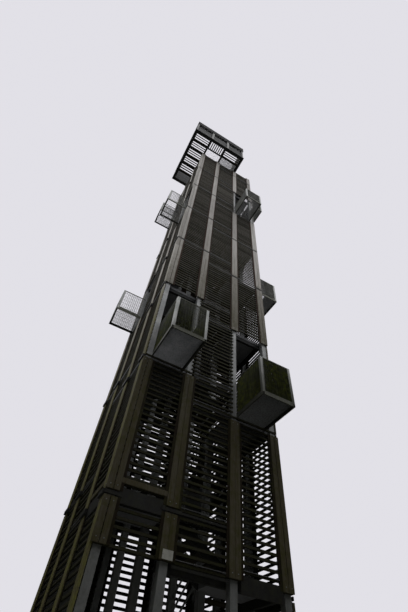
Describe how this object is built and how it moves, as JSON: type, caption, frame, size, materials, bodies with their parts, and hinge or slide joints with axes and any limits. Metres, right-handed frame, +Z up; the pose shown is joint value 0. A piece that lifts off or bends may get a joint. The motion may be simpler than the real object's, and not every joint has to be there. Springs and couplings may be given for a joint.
{
  "type": "observation tower",
  "caption": "Square timber-slatted steel observation tower with a stair spiralling round an open core, viewing balconies and an offset top platform.",
  "frame": {"origin": "middle of the underside of the front-left base plate", "axes": "+X to the right along the front, +Y towards the back, +Z up"},
  "size_m": [7.31, 7.31, 36.2767],
  "materials": {
    "galvanised_steel": "satin",
    "dark_steel": "satin",
    "sheet_steel": "satin",
    "slat_timber": "matte",
    "post_timber": "matte",
    "tread_timber": "matte",
    "panel_timber": "matte"
  },
  "bodies": {
    "root": {"back_columns": "galvanised_steel", "balcony_beams": "galvanised_steel", "balcony_decks": "sheet_steel", "balcony_front_panels": "panel_timber", "balcony_posts": "galvanised_steel", "balcony_side_panels": "panel_timber", "base_plates": "galvanised_steel", "cladding_back": "post_timber", "cladding_front": "post_timber", "cladding_left": "post_timber", "cladding_right": "post_timber", "core_columns": "galvanised_steel", "core_rails_back": "galvanised_steel", "core_rails_front": "galvanised_steel", "core_rails_left": "galvanised_steel", "core_rails_right": "galvanised_steel", "corner_columns": "galvanised_steel", "front_columns": "galvanised_steel", "landing_beams_back": "dark_steel", "landing_beams_front": "dark_steel", "landing_beams_left": "dark_steel", "landing_beams_right": "dark_steel", "landings_back_left": "sheet_steel", "landings_back_right": "sheet_steel", "landings_front_left": "sheet_steel", "landings_front_right": "sheet_steel", "left_columns": "galvanised_steel", "platform_deck": "tread_timber", "platform_frame": "dark_steel", "platform_posts": "post_timber", "platform_rim": "panel_timber", "platform_slats": "slat_timber", "right_columns": "galvanised_steel", "slats_back": "slat_timber", "slats_front": "slat_timber", "slats_left": "slat_timber", "slats_right": "slat_timber", "stringers_back": "dark_steel", "stringers_front": "dark_steel", "stringers_left": "dark_steel", "stringers_right": "dark_steel", "treads_back": "tread_timber", "treads_front": "tread_timber", "treads_left": "tread_timber", "treads_right": "tread_timber"}
  },
  "joints": []
}
